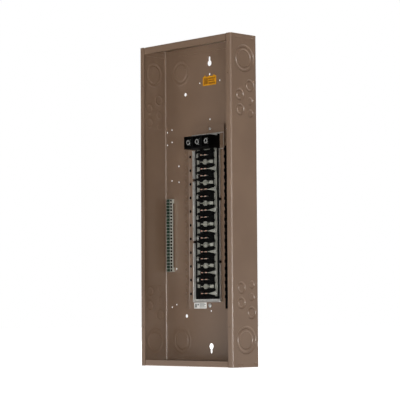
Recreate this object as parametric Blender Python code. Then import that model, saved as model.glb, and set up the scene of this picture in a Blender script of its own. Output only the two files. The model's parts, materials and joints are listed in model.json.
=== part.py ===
"""Three-phase main-lug load center: open flush box with its interior, without trim or breakers.

Frame: X to the right seen from the front, Y into the wall, Z up. The origin is the centre of the
box's back face, which is the face that goes against the wall. The box opens towards -Y.
"""
from math import cos, pi, sin

import bmesh
import bpy

MM = 0.001

# ---- box (14.31 in wide, 35 in tall, 3.88 in deep) -------------------------------------------
BOX_W = 363.5 * MM
BOX_H = 889.0 * MM
BOX_D = 98.6 * MM
SHEET = 1.5 * MM                 # 16 gauge steel
GAP = 0.3 * MM                   # air between two pieces that rest on each other
SIDE_RETURN = 17.6 * MM          # front flange along each side
TOP_RETURN = 19.0 * MM
BOTTOM_RETURN = 16.0 * MM
END_TAB = 19.5 * MM              # tabs of the end walls, clinched to the wrap
TRIM_HOLE_R = 2.2 * MM
TRIM_HOLE_Z = 337.0 * MM

# ---- openings in the back wall ------------------------------------------------------------------
KEYHOLE_R = 8.0 * MM
KEYHOLE_SLOT_R = 3.6 * MM
KEYHOLE_Z = 391.5 * MM           # centre of the wide end, above and below
KEYHOLE_SLOT_END = 407.0 * MM    # centre of the slot's end
CENTRE_HOLES = ((360.5, 3.0), (235.0, 2.5), (-294.5, 2.5))              # z and radius, mm
SIDE_HOLES = (                                                          # x, z and radius, mm
    (40.0, 339.5, 2.3), (98.0, 313.0, 5.0), (98.0, -308.0, 5.0), (155.0, 218.0, 2.3),
    (174.0, 212.0, 2.3), (155.0, 183.0, 2.3), (174.0, 176.0, 2.3), (127.0, 113.0, 2.5),
    (156.0, 73.5, 2.3), (127.0, 68.0, 2.3), (138.5, -175.5, 2.5), (139.0, -276.0, 2.3),
    (158.0, -283.0, 2.3))
KNOCKOUT_R = 37.5 * MM           # outermost score line of a large concentric knockout
SCORE_W = 1.8 * MM
SCORE_DEPTH = 0.5 * MM
KNOCKOUT_Z = 376.0 * MM
KNOCKOUT_BACK_X = 116.0 * MM
KNOCKOUT_SIDE_Y = -48.0 * MM
KNOCKOUT_END_X = 96.0 * MM

# ---- interior ----------------------------------------------------------------------------------------
INTERIOR_X = 0.5 * MM            # the interior is screwed in a little right of the middle

# ---- breaker positions ----------------------------------------------------------------------------
ROWS = 21
PITCH = 19.05 * MM               # one 3/4 inch pole
ROW_TOP_Z = 134.3 * MM

# ---- interior pan ----------------------------------------------------------------------------------
PAN_BACK_Y = -8.8 * MM
PAN_FRONT_Y = -10.0 * MM
PAN_HALF_W = 77.3 * MM
PAN_NECK_HALF_W = 64.0 * MM
PAN_TOP_Z = 217.0 * MM
PAN_SHOULDER_Z = 156.0 * MM
PAN_BOTTOM_Z = -288.5 * MM
RAIL_Y = -19.5 * MM              # free edge of the breaker rails
HOOK_Y = -25.0 * MM              # tips of the hooks that hold the breakers
HOOK_ROOT = 5.4 * MM
HOOK_TIP = 3.2 * MM
PAN_HOLE_X = 70.0 * MM
PAN_HOLE_R = 3.0 * MM
PAN_SCREW_AT = ((9.0 * MM, 207.0 * MM), (5.4 * MM, -279.5 * MM))
STANDOFF_R = 6.0 * MM
STANDOFF_X = 45.0 * MM
STANDOFF_Z = (184.0 * MM, -252.0 * MM)

# ---- bus tray and insulator -------------------------------------------------------------------------
TRAY_HALF_W = 50.2 * MM
TRAY_FLARE = 3.0 * MM            # how far the side walls lean out
TRAY_HEAD_HALF_W = 63.5 * MM     # flat head under the lug block
TRAY_SHEET = 1.0 * MM
TRAY_BACK_Y = PAN_FRONT_Y - GAP
TRAY_RIM_Y = -18.7 * MM
TRAY_SHOULDER_Z = 149.0 * MM
TRAY_TOP_Z = 194.5 * MM
TRAY_BOTTOM_Z = -270.5 * MM
TAB_ROWS = {-1: (3.5, 12.5), 1: (6.5, 15.5)}     # rows of the snap tabs on each side
SLAB_HALF_W = 48.6 * MM
SLAB_Y = (-11.6 * MM, -12.5 * MM)
SLAB_Z = (-262.0 * MM, 186.0 * MM)
RIDGE_HALF_W = 28.2 * MM
RIDGE_TOP_HALF_W = 13.5 * MM
RIDGE_SHOULDER_Y = -15.2 * MM
RIDGE_TOP_Y = -19.2 * MM
RIDGE_TOP_Z = 148.2 * MM
TUNNEL_HALF_W = 11.8 * MM
TUNNEL_Y = -15.8 * MM
BARRIER_Y = -23.5 * MM
BARRIER_HALF_H = 4.2 * MM
BARRIER_WAIST_HALF_H = 2.2 * MM

# ---- bus bars and stabs --------------------------------------------------------------------------------
BAR_Y = (-12.8 * MM, -15.5 * MM)
BAR_TOP_Z = 180.0 * MM
BARS = {                          # left and right edges and the lower end, mm
    "a": (-41.0, -29.2, -231.0),
    "b": (-11.3, 11.3, -243.0),
    "c": (29.2, 41.0, -255.0)}
STAB_HALF_H = 1.2 * MM            # half the thickness of a stab's blade
STAB_TIP_Y = -28.5 * MM
PLATE_STAB = (12.0 * MM, 7.0 * MM)   # half width and height of a centre stab's plate

# ---- main lugs -------------------------------------------------------------------------------------------
LUG_X = (-34.8 * MM, 0.0, 34.8 * MM)
LUG_Z = 169.5 * MM
LUG_HALF_W = 12.2 * MM
LUG_HALF_H = 13.0 * MM
LUG_Y = (-15.8 * MM, -42.6 * MM)
LUG_WIRE_Y = -26.5 * MM
LUG_WIRE_R = 7.6 * MM
LUG_SCREW_R = 7.4 * MM
LUG_SCREW_CLEAR = 0.3 * MM
LUG_SCREW_Y = (-35.0 * MM, -52.5 * MM)
HEX_SOCKET_R = 4.2 * MM
HEX_SOCKET_DEPTH = 5.0 * MM
BLOCK_HALF_W = 48.8 * MM
BLOCK_Y = (-11.6 * MM, -54.6 * MM)
BLOCK_Z = (150.8 * MM, 185.5 * MM)
BLOCK_BACK_LIP = (-21.0 * MM, 190.0 * MM)
POCKET_HALF_W = 13.6 * MM
POCKET_FRONT_Y = -43.2 * MM
RECESS_HALF_W = 12.6 * MM        # front recess round each screw, between the barriers
RECESS_HALF_H = 14.6 * MM
RECESS_Y = -46.0 * MM
ACCESS_HOLE_R = 8.6 * MM

# ---- grounding and neutral bars ----------------------------------------------------------------------------
TERMINAL_PITCH = 8.9 * MM
TERMINAL_HOLE_R = 2.6 * MM
GROUND_POSITIONS = 23             # two of them take the mounting screws
GROUND_X = (-161.0 * MM, -146.8 * MM)
GROUND_Y = (-6.0 * MM, -18.0 * MM)
GROUND_MID_Z = -81.5 * MM
GROUND_FOOT_Y = -SHEET - GAP
FOOT_LENGTH = 12.0 * MM
NEUTRAL_POSITIONS = 44
NEUTRAL_X = (101.0 * MM, 115.0 * MM)
NEUTRAL_Y = (-14.3 * MM, -26.6 * MM)
NEUTRAL_MID_Z = -42.0 * MM
BASE_X = (77.8 * MM, 123.5 * MM)
BASE_Z = (-288.5 * MM, 217.0 * MM)
BASE_WALL = 3.2 * MM
BASE_SEAT_Y = -14.0 * MM
BASE_STOP_Y = -18.0 * MM
NEUTRAL_LUG_X = 110.8 * MM
NEUTRAL_LUG_Z = 197.0 * MM
NEUTRAL_LUG_HALF_W = 8.6 * MM
NEUTRAL_LUG_Y = (-14.3 * MM, -38.0 * MM)

# ---- labels ----------------------------------------------------------------------------------------------------
TAG_X = (-26.0 * MM, 27.0 * MM)
TAG_Z = (329.8 * MM, 354.6 * MM)
TAG_BUMP_R = 3.6 * MM
TAG_THICK = 0.5 * MM
PLATE_X = (-58.0 * MM, -8.5 * MM)
PLATE_Z = (-287.6 * MM, -271.2 * MM)
PLATE_THICK = 0.4 * MM

AXES = {"X": (1, 2, 0), "Y": (0, 2, 1), "Z": (0, 1, 2)}   # outline's u and v, then the extrusion


# ---- materials ------------------------------------------------------------------------------------------------
def finish(name, colour, roughness, metallic):
    """A plain Principled material."""
    material = bpy.data.materials.new(name)
    material.use_nodes = True
    shader = material.node_tree.nodes["Principled BSDF"]
    shader.inputs["Base Color"].default_value = (*colour, 1.0)
    shader.inputs["Roughness"].default_value = roughness
    shader.inputs["Metallic"].default_value = metallic
    return material


def make_finishes():
    return {
        "tan_paint": finish("tan_paint", (0.16, 0.115, 0.082), 0.45, 0.0),
        "zinc_steel": finish("zinc_steel", (0.36, 0.35, 0.32), 0.38, 1.0),
        "plated_copper": finish("plated_copper", (0.50, 0.47, 0.41), 0.33, 1.0),
        "black_plastic": finish("black_plastic", (0.008, 0.008, 0.009), 0.45, 0.0),
        "aluminium": finish("aluminium", (0.55, 0.56, 0.54), 0.35, 1.0),
        "screw_steel": finish("screw_steel", (0.42, 0.42, 0.40), 0.30, 1.0),
        "yellow_tag": finish("yellow_tag", (0.60, 0.28, 0.01), 0.55, 0.0),
        "white_label": finish("white_label", (0.62, 0.62, 0.58), 0.60, 0.0)}


# ---- mesh tools --------------------------------------------------------------------------------------------------
def add_object(name, verts, faces, material, location=(0.0, 0.0, 0.0)):
    """A named object from points and faces, with its faces pointing out."""
    mesh = bpy.data.meshes.new(name)
    mesh.from_pydata(verts, [], faces)
    shell = bmesh.new()
    shell.from_mesh(mesh)
    bmesh.ops.recalc_face_normals(shell, faces=shell.faces)
    shell.to_mesh(mesh)
    shell.free()
    mesh.materials.append(material)
    return place(name, mesh, location)


def place(name, mesh, location):
    obj = bpy.data.objects.new(name, mesh)
    obj.location = location
    bpy.context.scene.collection.objects.link(obj)
    return obj


def prism(outline, axis, low, high, first=0):
    """Points and faces of a closed outline drawn out along an axis."""
    u, v, w = AXES[axis]
    verts = []
    for level in (low, high):
        for point in outline:
            vert = [0.0, 0.0, 0.0]
            vert[u], vert[v], vert[w] = point[0], point[1], level
            verts.append(vert)
    count = len(outline)
    faces = [[first + i for i in range(count)], [first + count + i for i in range(count)]]
    for i in range(count):
        j = (i + 1) % count
        faces.append([first + i, first + j, first + count + j, first + count + i])
    return verts, faces


def add_prisms(name, shapes, material, location=(0.0, 0.0, 0.0)):
    """One object from several separate prisms: (outline, axis, low, high) each."""
    verts, faces = [], []
    for outline, axis, low, high in shapes:
        more_verts, more_faces = prism(outline, axis, low, high, len(verts))
        verts += more_verts
        faces += more_faces
    return add_object(name, verts, faces, material, location)


def rectangle(u, v):
    return [(u[0], v[0]), (u[1], v[0]), (u[1], v[1]), (u[0], v[1])]


def circle(u, v, radius, segments, turn=0.0):
    return [(u + radius * cos(turn + 2 * pi * k / segments),
             v + radius * sin(turn + 2 * pi * k / segments)) for k in range(segments)]


def block(x, y, z):
    """A box as a prism shape."""
    return rectangle(x, y), "Z", z[0], z[1]


def combine(obj, operation, shapes):
    """Join prism shapes to an object, or cut them out of it, and keep the result."""
    tool = add_prisms("tool", shapes, obj.data.materials[0])
    step = obj.modifiers.new("step", "BOOLEAN")
    step.operation = operation
    step.solver = "EXACT"
    step.object = tool
    bpy.context.view_layer.update()
    evaluated = obj.evaluated_get(bpy.context.evaluated_depsgraph_get())
    result = bpy.data.meshes.new_from_object(evaluated)
    obj.modifiers.remove(step)
    obj.data = result
    bpy.data.objects.remove(tool)
    return obj


def add_joined(name, shapes, material, location=(0.0, 0.0, 0.0)):
    """One solid from overlapping prism shapes."""
    obj = add_prisms(name, shapes[:1], material, location)
    for shape in shapes[1:]:
        combine(obj, "UNION", [shape])
    return obj


def smooth(obj, angle=0.6):
    obj.data.shade_smooth()
    obj.data.set_sharp_from_angle(angle=angle)
    return obj


def row_z(row):
    """Height of a breaker row; half values lie between two rows."""
    return ROW_TOP_Z - row * PITCH


# ---- enclosure ------------------------------------------------------------------------------------------------------
def score_line(centre_u, centre_v, axis, surface, inward):
    """Cutters for a ring-shaped score line, as four quarter rings that overlap a little."""
    low, high = sorted((surface - inward * MM, surface + inward * SCORE_DEPTH))
    steps = 4
    shapes = []
    for quarter in range(4):
        start = quarter * pi / 2 + 0.02
        sweep = pi / 2 - 0.04
        angles = [start + sweep * k / steps for k in range(steps + 1)]
        outer = [(centre_u + KNOCKOUT_R * cos(a), centre_v + KNOCKOUT_R * sin(a)) for a in angles]
        inner_r = KNOCKOUT_R - SCORE_W
        inner = [(centre_u + inner_r * cos(a), centre_v + inner_r * sin(a)) for a in angles]
        shapes.append((outer + inner[::-1], axis, low, high))
    return shapes


def keyhole(side):
    """Outline of one hanging keyhole; its slot points away from the middle of the box."""
    slot_start = (KEYHOLE_R ** 2 - KEYHOLE_SLOT_R ** 2) ** 0.5
    outline = [(KEYHOLE_SLOT_R, KEYHOLE_Z + slot_start), (KEYHOLE_SLOT_R, KEYHOLE_SLOT_END),
               (0.7 * KEYHOLE_SLOT_R, KEYHOLE_SLOT_END + 0.7 * KEYHOLE_SLOT_R),
               (0.0, KEYHOLE_SLOT_END + KEYHOLE_SLOT_R),
               (-0.7 * KEYHOLE_SLOT_R, KEYHOLE_SLOT_END + 0.7 * KEYHOLE_SLOT_R),
               (-KEYHOLE_SLOT_R, KEYHOLE_SLOT_END), (-KEYHOLE_SLOT_R, KEYHOLE_Z + slot_start)]
    arc = 10
    turn = 2 * pi - 1.0
    for k in range(1, arc):
        angle = pi / 2 + 0.5 + turn * k / arc
        outline.append((KEYHOLE_R * cos(angle), KEYHOLE_Z + KEYHOLE_R * sin(angle)))
    return [(x, side * z) for x, z in outline]


def make_wrap(finishes):
    """Back wall, side walls and their front flanges: one sheet bent to a C."""
    half, depth, inner = BOX_W / 2, BOX_D, BOX_W / 2 - SHEET
    lip = half - SIDE_RETURN
    profile = [(lip, -depth), (half, -depth), (half, 0.0), (-half, 0.0), (-half, -depth),
               (-lip, -depth), (-lip, SHEET - depth), (-inner, SHEET - depth), (-inner, -SHEET),
               (inner, -SHEET), (inner, SHEET - depth), (lip, SHEET - depth)]
    wrap = add_prisms("box_wrap", [(profile, "Z", -BOX_H / 2, BOX_H / 2)], finishes["tan_paint"])
    through = (-2 * SHEET, SHEET)
    holes = [(keyhole(side), "Y", *through) for side in (1, -1)]
    for z, radius in CENTRE_HOLES:
        holes.append((circle(0.0, z * MM, radius * MM, 8), "Y", *through))
    for x, z, radius in SIDE_HOLES:
        for side in (-1, 1):
            holes.append((circle(side * x * MM, z * MM, radius * MM, 8), "Y", *through))
    for side in (-1, 1):
        for end in (-1, 1):
            centre = (side * (half - SIDE_RETURN / 2), end * TRIM_HOLE_Z)
            holes.append((circle(*centre, TRIM_HOLE_R, 8), "Y", -depth - SHEET, 2 * SHEET - depth))
            holes += score_line(side * KNOCKOUT_BACK_X, end * KNOCKOUT_Z, "Y", 0.0, -1)
            holes += score_line(KNOCKOUT_SIDE_Y, end * KNOCKOUT_Z, "X", side * half, -side)
    return combine(wrap, "DIFFERENCE", holes)


def make_end_wall(name, end, flange, finishes):
    """Top or bottom wall with its front flange and the tabs clinched inside the wrap."""
    outer = end * (BOX_H / 2 - GAP)
    plate = sorted((outer, outer - end * SHEET))
    tab = sorted((outer, outer - end * END_TAB))
    front = sorted((outer, outer - end * flange))
    half = BOX_W / 2 - SHEET - GAP
    lip = BOX_W / 2 - SIDE_RETURN - GAP
    behind_returns = SHEET + GAP - BOX_D
    back = -SHEET - GAP
    shapes = [block((-half, half), (behind_returns, back), plate),
              block((-lip, lip), (-BOX_D, behind_returns + SHEET), plate),
              block((-lip, lip), (-BOX_D, SHEET - BOX_D), front),
              block((-0.7 * half, 0.7 * half), (back - SHEET, back), tab)]
    for side in (-1, 1):
        edges = sorted((side * half, side * (half - SHEET)))
        shapes.append(block(edges, (behind_returns + 6 * MM, back - 6 * MM), tab))
    wall = add_joined(name, shapes, finishes["tan_paint"])
    rings = []
    for side in (-1, 1):
        rings += score_line(side * KNOCKOUT_END_X, KNOCKOUT_SIDE_Y, "Z", outer, -end)
    return combine(wall, "DIFFERENCE", rings)


# ---- interior --------------------------------------------------------------------------------------------------------
def rail_outline():
    """Side view of a breaker rail: a strip with a hook between every two rows."""
    outline = [(PAN_BACK_Y, PAN_BOTTOM_Z + 2 * MM), (RAIL_Y, PAN_BOTTOM_Z + 2 * MM)]
    for row in range(ROWS, -1, -1):
        middle = row_z(row - 0.5)
        outline += [(RAIL_Y, middle - HOOK_ROOT), (HOOK_Y, middle - HOOK_TIP),
                    (HOOK_Y, middle + HOOK_TIP), (RAIL_Y, middle + HOOK_ROOT)]
    outline += [(RAIL_Y, PAN_SHOULDER_Z - 2 * MM), (PAN_BACK_Y, PAN_SHOULDER_Z - 2 * MM)]
    return outline


def make_pan(finishes):
    """Steel pan that carries the bus and, on its bent-up rails, the breakers' outer ends."""
    wide, neck = PAN_HALF_W, PAN_NECK_HALF_W
    outline = [(-wide, PAN_BOTTOM_Z), (wide, PAN_BOTTOM_Z), (wide, PAN_SHOULDER_Z),
               (neck, PAN_SHOULDER_Z), (neck, PAN_TOP_Z), (-neck, PAN_TOP_Z),
               (-neck, PAN_SHOULDER_Z), (-wide, PAN_SHOULDER_Z)]
    pan = add_prisms("interior_pan", [(outline, "Y", PAN_FRONT_Y, PAN_BACK_Y)],
                     finishes["tan_paint"])
    thickness = PAN_BACK_Y - PAN_FRONT_Y
    for side in (-1, 1):
        edges = sorted((side * wide, side * (wide - thickness)))
        combine(pan, "UNION", [(rail_outline(), "X", *edges)])
    through = (PAN_FRONT_Y - MM, PAN_BACK_Y + MM)
    holes = [(rectangle((-MM, MM), (195 * MM, PAN_TOP_Z + MM)), "Y", *through)]
    for row in range(0, ROWS, 2):
        for side in (-1, 1):
            holes.append((circle(side * PAN_HOLE_X, row_z(row), PAN_HOLE_R, 8), "Y", *through))
    for x, z in PAN_SCREW_AT:
        holes.append((circle(x, z, 2.6 * MM, 8), "Y", *through))
    return combine(pan, "DIFFERENCE", holes)


def screw_mesh(name, head_r, head_h, shank_r, shank_l, material):
    """A pan-head screw along Y, its head's seat at the origin and its shank towards the wall."""
    segments = 16
    rings = [(0.55 * head_r, -head_h), (head_r, -0.55 * head_h), (head_r, 0.0),
             (shank_r, 0.0), (shank_r, shank_l)]
    verts = [(r * cos(2 * pi * k / segments), y, r * sin(2 * pi * k / segments))
             for r, y in rings for k in range(segments)]
    faces = [list(range(segments)), [4 * segments + k for k in range(segments)]]
    for ring in range(len(rings) - 1):
        for k in range(segments):
            j = (k + 1) % segments
            faces.append([ring * segments + k, ring * segments + j,
                          (ring + 1) * segments + j, (ring + 1) * segments + k])
    return smooth(add_object(name, verts, faces, material))


def make_pan_fixings(finishes):
    """Standoffs between the back wall and the pan, and the pan's two screws."""
    low, high = PAN_BACK_Y + GAP, -SHEET - GAP
    first = None
    for index, (x, z) in enumerate((x, z) for z in STANDOFF_Z for x in (-STANDOFF_X, STANDOFF_X)):
        name = f"pan_standoff_{index + 1}"
        if first is None:
            shape = (circle(0.0, 0.0, STANDOFF_R, 16), "Y", low, high)
            first = smooth(add_prisms(name, [shape], finishes["zinc_steel"]))
            first.location = (x, 0.0, z)
        else:
            place(name, first.data, (x, 0.0, z))
    top = screw_mesh("pan_screw_top", 4.2 * MM, 2.6 * MM, 2.1 * MM, 6.5 * MM,
                     finishes["screw_steel"])
    top.location = (PAN_SCREW_AT[0][0], PAN_FRONT_Y - GAP, PAN_SCREW_AT[0][1])
    bottom = screw_mesh("pan_screw_bottom", 6.2 * MM, 3.4 * MM, 2.1 * MM, 6.5 * MM,
                        finishes["screw_steel"])
    bottom.location = (PAN_SCREW_AT[1][0], PAN_FRONT_Y - GAP, PAN_SCREW_AT[1][1])


def make_tray(finishes):
    """Shallow plated tray under the bus insulator, with leaning sides and a flat head."""
    half, sheet = TRAY_HALF_W, TRAY_SHEET
    floor = (TRAY_BACK_Y - sheet, TRAY_BACK_Y)
    rim = (TRAY_RIM_Y, TRAY_BACK_Y)
    length = (TRAY_BOTTOM_Z, TRAY_SHOULDER_Z)
    head = (TRAY_SHOULDER_Z - sheet, TRAY_TOP_Z)
    shapes = [block((-half, half), floor, length),
              block((-TRAY_HEAD_HALF_W, TRAY_HEAD_HALF_W), floor, head),
              block((-half, half), rim, (TRAY_BOTTOM_Z, TRAY_BOTTOM_Z + sheet))]
    for side in (-1, 1):
        foot, lean = side * half, side * (half + TRAY_FLARE)
        inset = side * sheet
        wall = [(foot, TRAY_BACK_Y), (lean, TRAY_RIM_Y), (lean - inset, TRAY_RIM_Y),
                (foot - inset, TRAY_BACK_Y)]
        shapes.append((wall, "Z", *length))
    tray = add_joined("bus_tray", shapes, finishes["zinc_steel"])
    notches = []
    for side, rows in TAB_ROWS.items():
        for row in rows:
            edges = sorted((side * (half + TRAY_FLARE + sheet), side * (half - 3 * sheet)))
            middle = row_z(row)
            notches.append(block(edges, (TRAY_RIM_Y - sheet, floor[0] - MM),
                                 (middle - 4 * MM, middle + 4 * MM)))
    return combine(tray, "DIFFERENCE", notches)


def make_insulator(finishes):
    """Moulded bus support: a slab, a ridge round the centre bar, and barriers between the rows."""
    slab, ridge, top = SLAB_HALF_W, RIDGE_HALF_W, RIDGE_TOP_HALF_W
    tunnel = rectangle((-TUNNEL_HALF_W, TUNNEL_HALF_W), (TUNNEL_Y, SLAB_Y[1]))
    profile = [(-ridge, SLAB_Y[0] - GAP), (-ridge, RIDGE_SHOULDER_Y), (-top, RIDGE_TOP_Y),
               (top, RIDGE_TOP_Y), (ridge, RIDGE_SHOULDER_Y), (ridge, SLAB_Y[0] - GAP)]
    z = (SLAB_Z[0], RIDGE_TOP_Z)
    insulator = add_prisms("bus_insulator", [block((-slab, slab), SLAB_Y[::-1], SLAB_Z)],
                           finishes["black_plastic"])
    combine(insulator, "UNION", [(profile, "Z", *z)])
    waist, shoulder, tip = TUNNEL_HALF_W, RIDGE_HALF_W - 3 * MM, 34.0 * MM
    edge = [(-tip, 0.0), (-shoulder, BARRIER_HALF_H), (-waist, BARRIER_HALF_H),
            (5 * MM - waist, BARRIER_WAIST_HALF_H)]
    upper = edge + [(-x, z) for x, z in edge[:0:-1]]
    around = upper + [(-x, -z) for x, z in upper]
    barriers = []
    for row in range(ROWS + 1):
        shape = [(x, z + row_z(row - 0.5)) for x, z in around]
        barriers.append((shape, "Y", BARRIER_Y, BAR_Y[1] - 0.4 * MM))
    combine(insulator, "UNION", barriers)
    cuts = [(tunnel, "Z", SLAB_Z[0] - MM, RIDGE_TOP_Z + MM)]
    for row in range(1, ROWS, 3):
        middle = row_z(row)
        cuts.append(block((-12.9 * MM, 12.9 * MM), (RIDGE_TOP_Y - MM, TUNNEL_Y + MM),
                          (middle - 6.6 * MM, middle + 6.6 * MM)))
    for side in (-1, 1):
        corner = sorted((side * (BLOCK_HALF_W - 2.6 * MM), side * (slab + MM)))
        cuts.append(block(corner, (SLAB_Y[1] - MM, SLAB_Y[0] + MM),
                          (BLOCK_Z[0] - 0.6 * MM, SLAB_Z[1] + MM)))
    for cut in cuts:
        combine(insulator, "DIFFERENCE", [cut])
    for side, rows in TAB_ROWS.items():
        for row in rows:
            middle = (row_z(row) - 3.2 * MM, row_z(row) + 3.2 * MM)
            leg = sorted((side * 44.4 * MM, side * (slab - MM)))
            tab = sorted((side * 44.4 * MM, side * 53.5 * MM))
            combine(insulator, "UNION", [block(leg, (-16 * MM, SLAB_Y[0] - GAP), middle)])
            combine(insulator, "UNION", [block(tab, (-16 * MM, -12.9 * MM), middle)])
    return insulator


def make_bars(finishes):
    """Three flat phase bars, from under the main lugs down past their last stab."""
    for phase, (left, right, lower) in BARS.items():
        middle = (left + right) / 2 * MM
        half = (right - left) / 2 * MM
        add_prisms(f"bus_bar_{phase}", [block((-half, half), BAR_Y[::-1], (lower * MM, BAR_TOP_Z))],
                   finishes["plated_copper"], (middle, 0.0, 0.0))


def stab_mesh(name, stations, material):
    """A strap lofted through upright rectangles: x, back y, front y and half height, in mm."""
    verts, faces = [], []
    for x, back, front, half in stations:
        verts += [(x * MM, back * MM, -half * MM), (x * MM, front * MM, -half * MM),
                  (x * MM, front * MM, half * MM), (x * MM, back * MM, half * MM)]
    for section in range(len(stations) - 1):
        for k in range(4):
            j = (k + 1) % 4
            faces.append([4 * section + k, 4 * section + j,
                          4 * section + 4 + j, 4 * section + 4 + k])
    faces += [[0, 1, 2, 3], [4 * len(stations) - 4 + k for k in range(4)]]
    return add_object(name, verts, faces, material)


def make_stabs(finishes):
    """One plug-on stab per row, in phase order a, b, c from the top."""
    blade = STAB_HALF_H / MM
    tip = STAB_TIP_Y / MM
    web, seat = (-19.7, -21.5), -15.8
    outer = [(39.5, seat, seat - 2.0, 4.8), (31.0, seat, seat - 2.0, 5.1), (14.0, *web, blade),
             (12.0, *web, blade), (11.9, web[0], tip, blade), (4.1, web[0], tip, blade),
             (4.0, *web, blade), (-4.0, *web, blade), (-4.1, web[0], tip, blade),
             (-11.9, web[0], tip, blade), (-12.0, *web, blade)]
    arm = [(27.0, -16.1, -17.7, 4.4), (16.0, -19.1, -20.7, 4.4), (15.9, -19.1, -20.7, blade),
           (12.2, -19.7, -21.3, blade), (12.1, -19.7, tip, blade), (11.2, seat, tip, blade),
           (4.2, seat, tip, blade), (4.0, seat, web[1], blade)]
    centre = arm + [(-x, back, front, half) for x, back, front, half in reversed(arm)]
    left = [(-x, back, front, half) for x, back, front, half in outer]
    meshes = {}
    for row in range(ROWS):
        phase = "abc"[row % 3]
        name = f"stab_{phase}_{row + 1:02d}"
        if phase in meshes:
            place(name, meshes[phase], (0.0, 0.0, row_z(row)))
            continue
        stations = {"a": left, "b": centre, "c": outer}[phase]
        stab = stab_mesh(name, stations, finishes["plated_copper"])
        if phase == "b":
            plate = [(-PLATE_STAB[0], 0.0), (-0.4 * PLATE_STAB[0], PLATE_STAB[1]),
                     (0.4 * PLATE_STAB[0], PLATE_STAB[1]), (PLATE_STAB[0], 0.0),
                     (0.4 * PLATE_STAB[0], -PLATE_STAB[1]), (-0.4 * PLATE_STAB[0], -PLATE_STAB[1])]
            combine(stab, "UNION", [(plate, "Y", web[1] * MM, web[0] * MM)])
        stab.location = (0.0, 0.0, row_z(row))
        meshes[phase] = stab.data


# ---- main lugs ----------------------------------------------------------------------------------------------------------
def make_lug(name, half_w, y, centre, finishes):
    """A box lug: the wire goes through along Z, the set screw comes in from the front."""
    lug = add_prisms(name, [block((-half_w, half_w), y[::-1], (-LUG_HALF_H, LUG_HALF_H))],
                     finishes["aluminium"])
    wire_y = y[0] + LUG_WIRE_Y - LUG_Y[0]
    wire = (circle(0.0, wire_y, min(LUG_WIRE_R, half_w - 3 * MM), 16), "Z",
            -LUG_HALF_H - MM, LUG_HALF_H + MM)
    combine(lug, "DIFFERENCE", [wire])
    screw_hole = circle(0.0, 0.0, LUG_SCREW_R + LUG_SCREW_CLEAR, 16)
    combine(lug, "DIFFERENCE", [(screw_hole, "Y", y[1] - MM, wire_y)])
    lug.location = centre
    return smooth(lug)


def make_set_screw(name, y, centre, finishes):
    """A set screw along Y with a hexagon socket; its origin lies on its axis."""
    screw = add_prisms(name, [(circle(0.0, 0.0, LUG_SCREW_R, 20), "Y", y[1], y[0])],
                       finishes["screw_steel"])
    socket = circle(0.0, 0.0, HEX_SOCKET_R, 6)
    combine(screw, "DIFFERENCE", [(socket, "Y", y[1] - MM, y[1] + HEX_SOCKET_DEPTH)])
    screw.location = centre
    return smooth(screw)


def make_lug_block(finishes):
    """Moulded housing of the three main lugs: wires enter at the top, screws face the front."""
    shapes = [block((-BLOCK_HALF_W, BLOCK_HALF_W), BLOCK_Y[::-1], BLOCK_Z),
              block((-BLOCK_HALF_W, BLOCK_HALF_W), (BLOCK_BACK_LIP[0], BLOCK_Y[0]),
                    (BLOCK_Z[0], BLOCK_BACK_LIP[1]))]
    housing = add_joined("lug_block", shapes, finishes["black_plastic"])
    over = 5 * MM
    inner = BLOCK_HALF_W - 2.2 * MM
    channel = block((-inner, inner), (BAR_Y[1] - GAP, BLOCK_Y[0] + MM),
                    (BLOCK_Z[0] - over, BLOCK_BACK_LIP[1] + over))
    combine(housing, "DIFFERENCE", [channel])
    for x in LUG_X:
        pocket = block((x - POCKET_HALF_W, x + POCKET_HALF_W), (POCKET_FRONT_Y, -13 * MM),
                       (LUG_Z - LUG_HALF_H - 1.5 * MM, BLOCK_BACK_LIP[1] + over))
        combine(housing, "DIFFERENCE", [pocket])
        recess = block((x - RECESS_HALF_W, x + RECESS_HALF_W), (BLOCK_Y[1] - MM, RECESS_Y),
                       (LUG_Z - RECESS_HALF_H, LUG_Z + RECESS_HALF_H))
        combine(housing, "DIFFERENCE", [recess])
        access = circle(x, LUG_Z, ACCESS_HOLE_R, 20)
        combine(housing, "DIFFERENCE", [(access, "Y", RECESS_Y - MM, POCKET_FRONT_Y + MM)])
    return housing


def make_main_lugs(finishes):
    make_lug_block(finishes)
    for x, phase in zip(LUG_X, "abc"):
        make_lug(f"main_lug_{phase}", LUG_HALF_W, LUG_Y, (x, 0.0, LUG_Z), finishes)
        make_set_screw(f"lug_screw_{phase}", LUG_SCREW_Y, (x, 0.0, LUG_Z), finishes)


# ---- grounding and neutral bars ---------------------------------------------------------------------------------------------
def drill_bar(bar, x, y, middle, positions):
    """Wire holes through the bar, one for each terminal."""
    holes = []
    for k in range(positions):
        z = middle + (k - (positions - 1) / 2) * TERMINAL_PITCH
        outline = circle(sum(y) / 2, z, TERMINAL_HOLE_R, 8, pi / 8)
        holes.append((outline, "X", x[0] - MM, x[1] + MM))
    return combine(bar, "DIFFERENCE", holes)


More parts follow.
